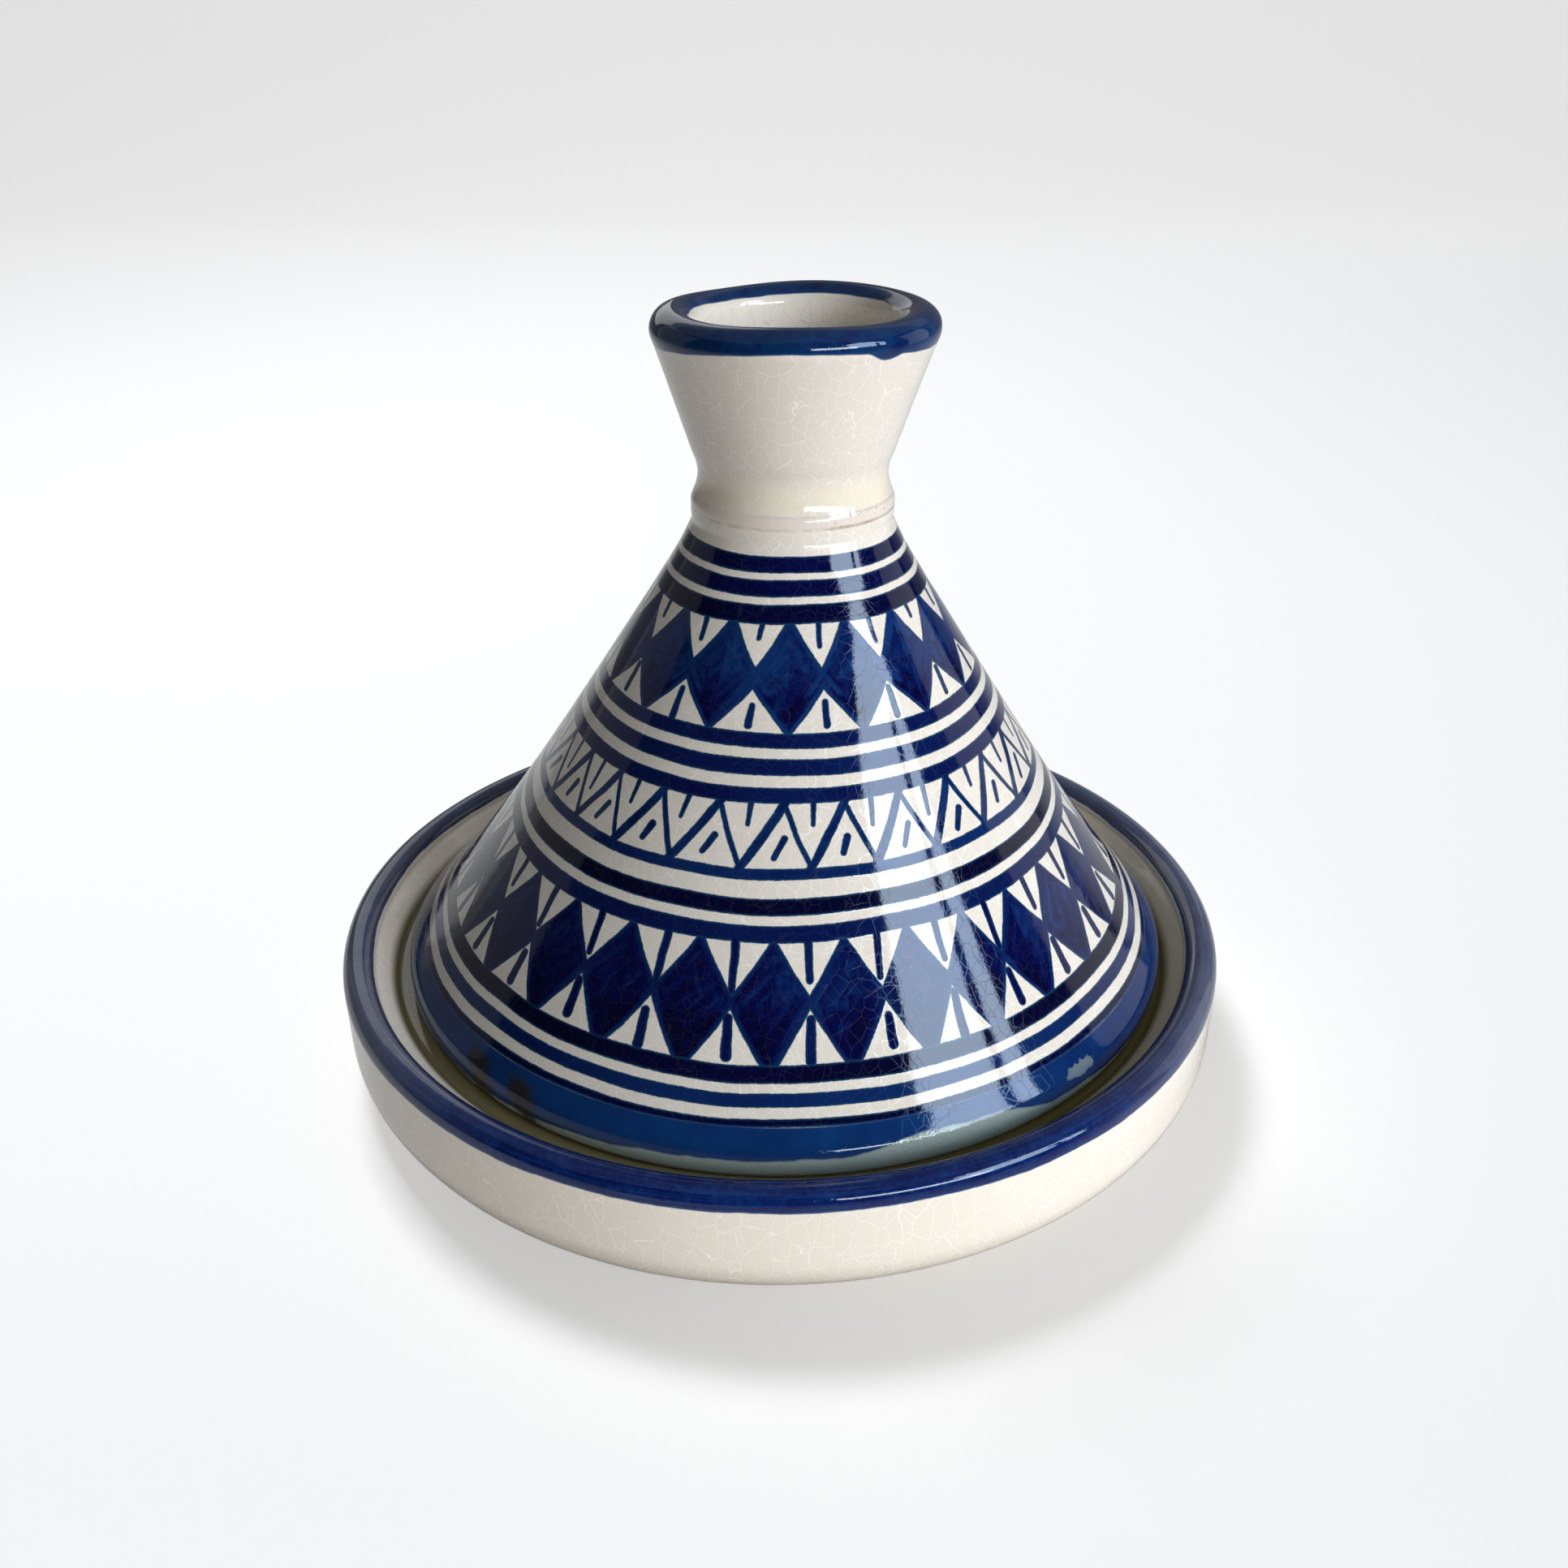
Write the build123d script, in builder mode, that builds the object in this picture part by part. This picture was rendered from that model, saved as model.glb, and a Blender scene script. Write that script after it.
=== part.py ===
"""Tagine pot: a shallow round serving dish and its tall conical lid with a flared cup knob.

Both pieces are turned shapes, drawn as half profiles on the XZ plane and revolved about Z.
Millimetres, +Z up, origin at the centre of the dish's resting plane.
The lid is drawn where it sits on the dish.
"""
import os

from build123d import *

# Driving dimensions
DISH_RADIUS = 135.0
DISH_HEIGHT = 42.5
FLANGE_RADIUS = 116.8
WAIST_RADIUS = 26.0
TOTAL_HEIGHT = 224.0

# Dish
LIP_ROUND = 4.7  # half the thickness of the wall at the rim
LEDGE_Z = 31.0  # gallery the lid rests on
LEDGE_OUTER_RADIUS = 119.0
LEDGE_INNER_RADIUS = 108.5
BOWL_FLOOR_Z = 9.0
BOWL_FLOOR_RADIUS = 90.0
FOOT_RADIUS = 118.5
CHAMFER_Z = 13.5  # height where the upright wall turns in towards the foot
RECESS_RADIUS = 99.0
RECESS_DEPTH = 2.5
RECESS_SLOPE = 3.0
WALL_TURN_ROUND = 14.0
FOOT_ROUND = 2.5
LEDGE_ROUND = 2.0
BOWL_EDGE_SLOPE = (-0.35, -1)  # the bowl wall drops steeply from the gallery

# Lid, from the seat up to the knob
SEAT_INNER_RADIUS = 109.5
SEAT_OUTER_RADIUS = 115.3
FLANGE_BULGE_Z = 36.2
FLANGE_TOP = (115.6, 39.8)  # where the rounded edge meets the skirt, at a slight turn
SKIRT = (111.6, 43.9)
SHOULDER = (97.6, 60.6)
CONE_MIDDLE = (66.1, 105.8)
CONE_UPPER = (38.0, 149.0)
CONE_TOP = (28.5, 165.6)
LID_WALL = 7.9  # wall thickness measured level, about 6.5 mm square to the wall
HOLLOW_TOP_Z = 168.0
HOLLOW_SHOULDER = (21.5, 159.5)
HOLLOW_SLOPE = (0.55, -1)  # the hollow's top runs down into its side
COLLAR_GROOVE = (27.7, 167.5)  # shallow groove where the cone ends
COLLAR_BEAD = (28.1, 169.9)
COLLAR_NOTCH = (27.95, 171.2)  # fine line between the collar's two beads
COLLAR_RIDGE = (28.1, 172.2)
COLLAR_END = (27.5, 174.4)
WAIST_Z = 180.6
CUP_START = (27.5, 186.0)

# Cup knob with its rolled rim
CUP_RIM_ROUND = 5.7
CUP_RIM_RADIUS = 32.4  # from the axis to the middle of the rolled rim
RIM_JOIN_ANGLE = 30  # degrees below its widest point where the cup's side meets the rolled rim
CUP_FLOOR_Z = 180.0
CUP_FLOOR_RADIUS = 10.0
CUP_WALL_RADIUS = 26.2
CUP_WALL_Z = 206.0
CUP_LOWER = (18.6, 185.0)
CUP_WALL_SLOPE = (-0.1, -1)

# Directions on the half profile
INWARD = (-1, 0)
OUTWARD = (1, 0)


def round_corner(profile, radius_from_axis, height, rounding):
    """Round the corner of a half profile that is nearest to the given point."""
    corner = profile.vertices().sort_by_distance((radius_from_axis, height, 0))[0]
    fillet(corner, radius=rounding)


# Dish: flat foot with a recessed middle, upright wall, rounded lip, gallery and bowl
inner_lip_radius = DISH_RADIUS - 2 * LIP_ROUND
lip_base_z = DISH_HEIGHT - LIP_ROUND
with BuildPart() as dish:
    with BuildSketch(Plane.XZ) as dish_profile:
        with BuildLine():
            under = Polyline(
                (0, BOWL_FLOOR_Z),
                (0, RECESS_DEPTH),
                (RECESS_RADIUS - RECESS_SLOPE, RECESS_DEPTH),
                (RECESS_RADIUS, 0),
                (FOOT_RADIUS, 0),
                (DISH_RADIUS, CHAMFER_Z),
                (DISH_RADIUS, lip_base_z),
            )
            lip = ThreePointArc(
                under @ 1,
                (DISH_RADIUS - LIP_ROUND, DISH_HEIGHT),
                (inner_lip_radius, lip_base_z),
            )
            gallery = Polyline(lip @ 1, (LEDGE_OUTER_RADIUS, LEDGE_Z), (LEDGE_INNER_RADIUS, LEDGE_Z))
            bowl_wall = Spline(
                gallery @ 1,
                (BOWL_FLOOR_RADIUS, BOWL_FLOOR_Z),
                tangents=(BOWL_EDGE_SLOPE, INWARD),
            )
            Line(bowl_wall @ 1, under @ 0)
        make_face()
        round_corner(dish_profile, DISH_RADIUS, CHAMFER_Z, WALL_TURN_ROUND)
        round_corner(dish_profile, FOOT_RADIUS, 0, FOOT_ROUND)
        round_corner(dish_profile, LEDGE_OUTER_RADIUS, LEDGE_Z, LEDGE_ROUND)
        round_corner(dish_profile, LEDGE_INNER_RADIUS, LEDGE_Z, LEDGE_ROUND)
    revolve(axis=Axis.Z)

# Lid: seat ring and rounded flange, hollow cone, collar, waist and open cup knob in one piece
rim_centre_z = TOTAL_HEIGHT - CUP_RIM_ROUND
with BuildPart() as lid:
    with BuildSketch(Plane.XZ):
        with BuildLine():
            seat = Line((SEAT_INNER_RADIUS, LEDGE_Z), (SEAT_OUTER_RADIUS, LEDGE_Z))
            flange = ThreePointArc(seat @ 1, (FLANGE_RADIUS, FLANGE_BULGE_Z), FLANGE_TOP)
            cone = Spline(
                flange @ 1,
                SKIRT,
                SHOULDER,
                CONE_MIDDLE,
                CONE_UPPER,
                CONE_TOP,
                COLLAR_GROOVE,
            )
            bead = ThreePointArc(cone @ 1, COLLAR_BEAD, COLLAR_NOTCH)
            ridge = ThreePointArc(bead @ 1, COLLAR_RIDGE, COLLAR_END)
            waist = Spline(ridge @ 1, (WAIST_RADIUS, WAIST_Z), CUP_START)
            rolled_rim = CenterArc(
                (CUP_RIM_RADIUS, rim_centre_z),
                CUP_RIM_ROUND,
                start_angle=-RIM_JOIN_ANGLE,
                arc_size=180 + RIM_JOIN_ANGLE,
            )
            Line(waist @ 1, rolled_rim @ 0)
            cup_wall = Line(rolled_rim @ 1, (CUP_WALL_RADIUS, CUP_WALL_Z))
            cup_bottom = Spline(
                cup_wall @ 1,
                CUP_LOWER,
                (CUP_FLOOR_RADIUS, CUP_FLOOR_Z),
                tangents=(CUP_WALL_SLOPE, INWARD),
            )
            web = Polyline(cup_bottom @ 1, (0, CUP_FLOOR_Z), (0, HOLLOW_TOP_Z))
            hollow_top = Spline(
                web @ 1,
                HOLLOW_SHOULDER,
                (CONE_UPPER[0] - LID_WALL, CONE_UPPER[1]),
                tangents=(OUTWARD, HOLLOW_SLOPE),
            )
            hollow_side = Spline(
                hollow_top @ 1,
                (CONE_MIDDLE[0] - LID_WALL, CONE_MIDDLE[1]),
                (SHOULDER[0] - LID_WALL, SHOULDER[1]),
                (SKIRT[0] - LID_WALL, SKIRT[1]),
            )
            Line(hollow_side @ 1, seat @ 0)
        make_face()
    revolve(axis=Axis.Z)

dish.part.label = "dish"
lid.part.label = "lid"

os.makedirs("parts", exist_ok=True)
export_step(dish.part, "parts/dish.step")
export_step(lid.part, "parts/lid.step")
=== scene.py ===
"""Looks for the tagine pot: a crackle-glazed dish and its hand-painted lid, built on the CAD frame.

Metres, +Z up, with the front of the pot towards -Y. Patterns are laid out in millimetres on the turned
surface: how far round from the front, and how far along the piece's half profile.
"""

import functools
import math

import bmesh
import bpy
import numpy as np
from mathutils import Matrix, Vector


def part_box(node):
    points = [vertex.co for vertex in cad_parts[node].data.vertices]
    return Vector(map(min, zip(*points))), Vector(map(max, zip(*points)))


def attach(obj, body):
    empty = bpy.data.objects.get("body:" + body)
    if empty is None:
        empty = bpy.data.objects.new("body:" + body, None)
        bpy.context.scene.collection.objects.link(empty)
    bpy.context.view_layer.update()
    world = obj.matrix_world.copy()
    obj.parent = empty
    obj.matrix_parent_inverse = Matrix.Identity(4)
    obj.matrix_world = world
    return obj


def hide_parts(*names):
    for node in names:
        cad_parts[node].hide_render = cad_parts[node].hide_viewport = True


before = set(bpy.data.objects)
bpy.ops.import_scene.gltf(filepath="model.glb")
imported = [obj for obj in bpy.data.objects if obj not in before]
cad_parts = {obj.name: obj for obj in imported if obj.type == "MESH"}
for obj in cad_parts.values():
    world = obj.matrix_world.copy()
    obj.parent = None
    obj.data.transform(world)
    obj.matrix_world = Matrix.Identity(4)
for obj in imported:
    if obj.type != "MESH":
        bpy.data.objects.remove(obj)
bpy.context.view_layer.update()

MM = 0.001

# Sizes worked out from the frame
dish_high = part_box("dish")[1]
lid_low, lid_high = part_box("lid")
RIM_RADIUS = dish_high.x
RIM_HEIGHT = dish_high.z
SEAT_HEIGHT = lid_low.z
LID_TOP = lid_high.z

SKIRT_RISE = 12.9 * MM  # top of the lid's blue skirt above its seat
NOTCH_DROP = 52.8 * MM  # the collar's stained notch below the top of the cup

# How finely each piece is turned
COLUMNS = 320
LID_ROWS = 300
DISH_ROWS = 240
EDGE_SOFTNESS = 0.5 * MM  # glaze rounds every edge by about this much

# What the hand did
LID_LEAN = 0.025  # sideways shift per metre of height above the seat
LID_OFF_CENTRE = 1.3 * MM
LID_SWAY = 0.35 * MM
CUP_WOBBLE = 0.9 * MM
CUP_OVALITY = 0.5 * MM
CUP_FRONT_DIP = 1.6 * MM
CUP_HEIGHT = 30 * MM  # the cup's unevenness dies out this far below the top
SEAT_MARGIN = 8 * MM  # the lid stays true near its seat
WEB_MARGIN = 6 * MM  # and near the axis
DISH_SWAY = 0.4 * MM
DISH_WOBBLE = 0.35 * MM
DISH_WOBBLE_HEIGHT = 12 * MM
LID_RING_DEPTH, LID_RING_PITCH = 0.018 * MM, 5.2 * MM
DISH_RING_DEPTH, DISH_RING_PITCH = 0.014 * MM, 4.5 * MM

# Painted bands of the cone from the collar down: what is painted, its width in mm, how thick the paint is
BANDS = (
    ("band", 4.5, 0.80),
    ("bare", 1.7, 0),
    ("band", 4.6, 0.80),
    ("bare", 1.9, 0),
    ("band", 5.3, 0.92),
    ("large diamonds", 28.2, 0),
    ("band", 4.0, 0.62),
    ("bare", 2.6, 0),
    ("band", 4.4, 0.58),
    ("bare", 3.0, 0),
    ("band", 4.1, 0.62),
    ("zigzag", 16.7, 0),
    ("band", 3.0, 0.42),
    ("bare", 4.5, 0),
    ("band", 4.4, 1.00),
    ("bare", 2.4, 0),
    ("band", 4.5, 0.60),
    ("small diamonds", 30.5, 0),
    ("band", 4.7, 1.00),
    ("bare", 2.3, 0),
    ("band", 3.6, 0.42),
    ("bare", 2.8, 0),
    ("band", 2.2, 0.92),
)
BARE_BELOW_COLLAR = 6.9  # mm of bare glaze between the collar's notch and the first band

# Single marks, in degrees round from the front
DRIP_AT = 35  # paint that ran down under the cup rim
CUP_CRACK_AT = 152  # crack inside the cup
SHORE_LOWEST_AT = 8  # where the skirt's blue reaches down least, and again straight behind
TONGUE_AT = 22  # where the run-off glaze climbs into the blue
SCAR_AT = 42.5
KILN_MARKS = ((-48, 4.4), (-39.5, 4.2))  # each mark's place and width

# Edges of the painting, in mm along the half profile
CUP_RIM_OUTSIDE = 10.6  # the cup rim's blue reaches this far down outside, and this far down inside
CUP_RIM_INSIDE = 5.6
DISH_RIM_OUTSIDE = 7.5
DISH_RIM_INSIDE = 5.6
RIDGE_TOP = 3.4  # from the collar's notch to the upper edge of its ridge
SHORE_BELOW = 8.0  # at the front the skirt's blue ends about this far below the skirt's top
OLIVE_BELOW = 13.2  # run-off glaze turns olive this far below the skirt's top
SEAT_INSIDE, SEAT_OUTSIDE = 7, 3.5  # bare clay on both sides of the lid's lowest line
FOOT_RADIUS, FOOT_REACH = 120, 125  # bare clay under the dish: its radius, and its reach from the middle

# Colours, as linear RGB
CREAM = (0.76, 0.70, 0.60)
POOLED_CREAM = (0.80, 0.71, 0.50)
PINK_SLIP = (0.72, 0.61, 0.53)
CRACK_LINE = (0.94, 0.92, 0.87)
# paler cream inside the cup: painted light
CUP_PAINTED_LIGHT = (0.92, 0.84, 0.71)
BROWN_STAIN = (0.20, 0.10, 0.065)
CLAY = (0.52, 0.37, 0.25)
BLUE_THIN = (0.006, 0.042, 0.165)
BLUE = (0.0024, 0.0115, 0.078)
BLUE_DEEP = (0.0014, 0.0026, 0.048)
BLUE_THICK = (0.0014, 0.0016, 0.020)
BLUE_EDGE = (0.004, 0.040, 0.098)
# pale grey blue for the painted sheen on the dish rim's sides
SHEEN_GREY_BLUE = (0.13, 0.14, 0.17)
SKIRT_BLUE = (0.0035, 0.034, 0.135)
CELADON = (0.29, 0.35, 0.32)
OLIVE = (0.085, 0.070, 0.020)
OLIVE_WASH = (0.27, 0.24, 0.13)
KILN_MARK = (0.022, 0.016, 0.008)

# Colours of the lights
WARM_WHITE = (1.0, 0.98, 0.965)
PALE_SKY = (0.96, 0.98, 1.0)
CLEAR_SKY = (0.82, 0.92, 1.0)
SKY = (0.80, 0.92, 1.0)


# ------------------------------------------------------------------ shapes


def half_profile(node):
    """Half section of a CAD piece, as ordered (radius, height) points from the axis out and back to it."""
    mesh = bmesh.new()
    mesh.from_mesh(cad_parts[node].data)
    bmesh.ops.remove_doubles(mesh, verts=mesh.verts, dist=1e-6)
    off_square = 0.024  # radians, so that the cuts pass between the mesh's own points
    outward = Vector((math.cos(off_square), math.sin(off_square), 0))
    sideways = Vector((-outward.y, outward.x, 0))
    bmesh.ops.bisect_plane(
        mesh,
        geom=mesh.verts[:] + mesh.edges[:] + mesh.faces[:],
        plane_co=(0, 0, 0),
        plane_no=outward,
        clear_inner=True,
    )
    cut = bmesh.ops.bisect_plane(
        mesh,
        geom=mesh.verts[:] + mesh.edges[:] + mesh.faces[:],
        dist=1e-7,
        plane_co=sideways * 1e-5,
        plane_no=sideways,
    )
    neighbours = {}
    for edge in cut["geom_cut"]:
        if isinstance(edge, bmesh.types.BMEdge):
            first, second = edge.verts
            neighbours.setdefault(first, []).append(second)
            neighbours.setdefault(second, []).append(first)
    ends = [vertex for vertex, linked in neighbours.items() if len(linked) == 1]
    here, before = min(ends, key=lambda vertex: vertex.co.z), None
    points = []
    while here is not None:
        points.append((max(here.co.dot(outward), 0.0), here.co.z))
        onward = [vertex for vertex in neighbours[here] if vertex is not before]
        here, before = (onward[0] if onward else None), here
    mesh.free()
    points[0] = (0.0, points[0][1])
    points[-1] = (0.0, points[-1][1])
    return np.array(points)


def walk(points):
    """Distance along a line of points, from its first point."""
    return np.concatenate([[0], np.cumsum(np.hypot(*np.diff(points, axis=0).T))])


def resample(points, places):
    """The line of points, read at the given distances along it."""
    along = walk(points)
    return np.column_stack([np.interp(places, along, points[:, k]) for k in range(2)])


def softened(points, spread):
    """The line of points with its corners rounded over about the given distance."""
    step = spread / 4
    length = walk(points)[-1]
    fine = resample(points, np.linspace(0, length, int(length / step)))
    reach = 12
    weights = np.exp(-0.5 * (np.arange(-reach, reach + 1) * step / spread) ** 2)
    weights /= weights.sum()
    mirrored = np.array([-1.0, 1.0])  # the section carries on across the axis
    padded = np.vstack([fine[reach:0:-1] * mirrored, fine, fine[-2 : -reach - 2 : -1] * mirrored])
    smooth = np.column_stack([np.convolve(padded[:, k], weights, mode="valid") for k in range(2)])
    smooth[[0, -1], 0] = 0
    return smooth


def bend(points):
    """How sharply the line turns at each point, in radians per metre; a turn to the left is positive."""
    across, up = np.gradient(points, axis=0).T
    direction = np.unwrap(np.arctan2(up, across))
    return np.gradient(direction) / np.maximum(np.hypot(across, up), 1e-9)


def shared_out(points, rows):
    """The line of points resampled to a number of rows, closer together where it bends."""
    sharpest = 600  # radians per metre; a tighter bend gets no more rows than this
    rows_per_bend = 0.012
    step = np.hypot(*np.gradient(points, axis=0).T)
    crowding = 1 + np.minimum(np.abs(bend(points)), sharpest) * rows_per_bend
    smoothing = np.ones(9) / 9
    total = np.cumsum(np.convolve(step * crowding, smoothing, mode="same"))
    along = walk(points)
    places = np.interp(np.linspace(total[0], total[-1], rows), total, along)
    places[0], places[-1] = 0, along[-1]
    return resample(points, places), places


def waves(angle, place, seed, turns, pitch):
    """A smooth uneven pattern of about unit size: sine waves round the piece that drift along it."""
    rng = np.random.default_rng(seed)
    total = np.zeros_like(angle)
    for count in turns:
        phase, drift = rng.uniform(0, 2 * math.pi), rng.uniform(-1, 1)
        total += np.sin(count * angle + phase + drift * place / pitch) / count
    return total


def at_angle(radius, height, angle):
    """Points at a radius and height, with angle 0 at the front and turning towards +X."""
    return np.stack([radius * np.sin(angle), -radius * np.cos(angle), height], -1)


def throwing_rings(angle, place, depth, pitch):
    """The shallow spiral that fingers leave in thrown clay."""
    return depth * np.sin(2 * math.pi * place / pitch + angle)


def lid_shape(radius, height, angle, place):
    """The lid as thrown by hand: throwing rings, an uneven cup rim and a slight lean."""
    rise = height - SEAT_HEIGHT
    free = np.clip(rise / SEAT_MARGIN, 0, 1) * np.clip(radius / WEB_MARGIN, 0, 1)
    top = np.clip((height - (LID_TOP - CUP_HEIGHT)) / CUP_HEIGHT, 0, 1) ** 2
    sway = LID_SWAY * waves(angle, place, seed=11, turns=(1, 2, 3, 5), pitch=30 * MM)
    wobble = CUP_WOBBLE * waves(angle, place, seed=12, turns=(2, 3, 4), pitch=1.0)
    ovality = CUP_OVALITY * waves(angle, place, seed=13, turns=(2, 3, 4, 7), pitch=1.0)
    rings = throwing_rings(angle, place, LID_RING_DEPTH, LID_RING_PITCH)
    front_dip = CUP_FRONT_DIP * np.clip(np.cos(angle), 0, 1) ** 2
    new_height = height + top * (wobble - front_dip)
    points = at_angle(radius + free * (rings + sway) + top * ovality, new_height, angle)
    points[..., 0] += LID_OFF_CENTRE + rise * LID_LEAN
    return points


def dish_shape(radius, height, angle, place):
    """The dish as thrown by hand: a faintly wavy wall and rim, with the ledge and foot left true."""
    outside = np.clip((radius - GALLERY_RADIUS) / (RIM_RADIUS - GALLERY_RADIUS), 0, 1)
    top = np.clip((height - (RIM_HEIGHT - DISH_WOBBLE_HEIGHT)) / DISH_WOBBLE_HEIGHT, 0, 1) ** 2
    sway = DISH_SWAY * waves(angle, place, seed=21, turns=(2, 3, 5, 8), pitch=25 * MM)
    rings = throwing_rings(angle, place, DISH_RING_DEPTH, DISH_RING_PITCH)
    wobble = DISH_WOBBLE * waves(angle, place, seed=22, turns=(2, 3, 4, 6), pitch=1.0)
    return at_angle(radius + outside * (sway + rings), height + top * outside * wobble, angle)


def turned_piece(name, profile, along, shape):
    """A closed piece turned from a half profile, with shape() adding what the hand did.

    Its UV map "Turned" holds the share of a turn and the distance along the profile in metres, "OFBake"
    holds the same unrolled into the unit square, and the attribute "radius" holds the true radius.
    """
    angle = np.linspace(-math.pi, math.pi, COLUMNS, endpoint=False)
    ring_radius, ring_height, ring_place = profile[1:-1, 0], profile[1:-1, 1], along[1:-1]
    radius, turn = np.meshgrid(ring_radius, angle, indexing="ij")
    height = np.repeat(ring_height[:, None], COLUMNS, axis=1)
    place = np.repeat(ring_place[:, None], COLUMNS, axis=1)
    rings = shape(radius, height, turn, place).reshape(-1, 3)
    tips = [
        shape(np.zeros((1, 1)), np.full((1, 1), profile[k, 1]), np.zeros((1, 1)), np.full((1, 1), along[k]))
        for k in (0, -1)
    ]
    points = np.vstack([rings] + [tip.reshape(1, 3) for tip in tips])

    rows = len(ring_radius)
    corner = np.arange(rows * COLUMNS).reshape(rows, COLUMNS)
    onward = np.roll(corner, -1, axis=1)
    faces = np.stack([corner[:-1], onward[:-1], onward[1:], corner[1:]], -1).reshape(-1, 4).tolist()
    first_tip, last_tip = rows * COLUMNS, rows * COLUMNS + 1
    faces += [[first_tip, onward[0, j], corner[0, j]] for j in range(COLUMNS)]
    faces += [[last_tip, corner[-1, j], onward[-1, j]] for j in range(COLUMNS)]
    mesh = bpy.data.meshes.new(name)
    mesh.from_pydata(points, [], faces)
    mesh.polygons.foreach_set("use_smooth", [True] * len(mesh.polygons))

    left = np.arange(COLUMNS) / COLUMNS
    right = left + 1 / COLUMNS
    low, high = np.repeat(ring_place[:-1], COLUMNS), np.repeat(ring_place[1:], COLUMNS)
    lefts, rights = np.tile(left, rows - 1), np.tile(right, rows - 1)
    quads = np.stack([lefts, low, rights, low, rights, high, lefts, high], -1).reshape(-1, 2)

    def fan(tip, ring, second, third):
        """UV corners of the triangles that close one end."""
        tips_at, rings_at = np.full(COLUMNS, tip), np.full(COLUMNS, ring)
        middle = (left + right) / 2
        return np.stack([middle, tips_at, second, rings_at, third, rings_at], -1).reshape(-1, 2)

    unrolled = np.vstack([
        quads,
        fan(along[0], ring_place[0], right, left),
        fan(along[-1], ring_place[-1], left, right),
    ]).astype(np.float32)
    mesh.uv_layers.new(name="Turned").data.foreach_set("uv", unrolled.ravel())
    unrolled[:, 1] /= along[-1]
    mesh.uv_layers.new(name="OFBake").data.foreach_set("uv", unrolled.ravel())
    true_radius = mesh.attributes.new("radius", "FLOAT", "POINT")
    true_radius.data.foreach_set("value", np.append(radius.ravel(), (0.0, 0.0)).astype(np.float32))
    mesh.validate()
    piece = bpy.data.objects.new(name, mesh)
    bpy.context.scene.collection.objects.link(piece)
    return piece


# ------------------------------------------------------------------ places on the profiles

lid_line = softened(half_profile("lid"), EDGE_SOFTNESS)
dish_line = softened(half_profile("dish"), EDGE_SOFTNESS)
lid_line_along = walk(lid_line)
dish_line_along = walk(dish_line)

on_ledge = np.abs(dish_line[:, 1] - SEAT_HEIGHT) < 0.1 * MM
GALLERY_RADIUS = dish_line[on_ledge & (dish_line[:, 0] < RIM_RADIUS - 10 * MM), 0].max()


def outside_place(height):
    """Place on the lid's outside, in mm, where it reaches a height."""
    outside = slice(lid_line[:, 0].argmax(), lid_line[:, 1].argmax() + 1)
    return float(np.interp(height, lid_line[outside, 1], lid_line_along[outside])) / MM


skirt_at = outside_place(SEAT_HEIGHT + SKIRT_RISE)
notch_at = outside_place(LID_TOP - NOTCH_DROP)
lid_rim_at = lid_line_along[lid_line[:, 1].argmax()] / MM
lid_seat_at = lid_line_along[lid_line[:, 1].argmin()] / MM
dish_rim_at = dish_line_along[dish_line[:, 1].argmax()] / MM
ledge_at = dish_line_along[on_ledge & (dish_line[:, 0] < RIM_RADIUS - 10 * MM)].min() / MM

lid = turned_piece("painted_lid", *shared_out(lid_line, LID_ROWS), lid_shape)
dish = turned_piece("painted_dish", *shared_out(dish_line, DISH_ROWS), dish_shape)


# ------------------------------------------------------------------ patterns as arithmetic


class Field:
    """A number that a material's nodes work out at each point, so that patterns read as arithmetic."""

    def __init__(self, tree, socket):
        self.tree = tree
        self.socket = socket

    def __add__(self, other):
        return calc("ADD", self, other)

    def __sub__(self, other):
        return calc("SUBTRACT", self, other)

    def __rsub__(self, other):
        return calc("SUBTRACT", other, self)

    def __mul__(self, other):
        return calc("MULTIPLY", self, other)

    def __truediv__(self, other):
        return calc("DIVIDE", self, other)

    def __neg__(self):
        return calc("MULTIPLY", self, -1)

    def __abs__(self):
        return calc("ABSOLUTE", self)

    __radd__ = __add__
    __rmul__ = __mul__


def plug(tree, value, slot):
    """Feeds a number, a colour, a socket or a Field into a node's input."""
    if isinstance(value, Field):
        tree.links.new(value.socket, slot)
    elif isinstance(value, bpy.types.NodeSocket):
        tree.links.new(value, slot)
    elif isinstance(value, tuple) and len(slot.default_value) == 4:
        slot.default_value = (*value, 1)
    else:
        slot.default_value = value


def calc(operation, *values, clamp=False):
    """One step of arithmetic, as a math node."""
    tree = next(value.tree for value in values if isinstance(value, Field))
    node = tree.nodes.new("ShaderNodeMath")
    node.operation = operation
    node.use_clamp = clamp
    for value, slot in zip(values, node.inputs):
        plug(tree, value, slot)
    return Field(tree, node.outputs[0])


def highest(*values):
    """The largest of several values: patterns joined."""
    return functools.reduce(functools.partial(calc, "MAXIMUM"), values)


def lowest(*values):
    """The smallest of several values: the overlap of patterns."""
    return functools.reduce(functools.partial(calc, "MINIMUM"), values)


def clamped(value):
    """The value held between 0 and 1."""
    return calc("ADD", value, 0, clamp=True)


def ramp_up(value, low, high):
    """0 below low, 1 above high, and a smooth rise between."""
    node = value.tree.nodes.new("ShaderNodeMapRange")
    node.interpolation_type = "SMOOTHSTEP"
    for number, slot in zip((value, low, high, 0, 1), node.inputs):
        plug(value.tree, number, slot)
    return Field(value.tree, node.outputs[0])


def between(value, low, high, soft):
    """1 from low to high, fading out over soft at both ends."""
    return ramp_up(value, low - soft, low + soft) * (1 - ramp_up(value, high - soft, high + soft))


def chosen(share, first, second):
    """first where share is 1, second where it is 0."""
    return share * (first - second) + second


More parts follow.
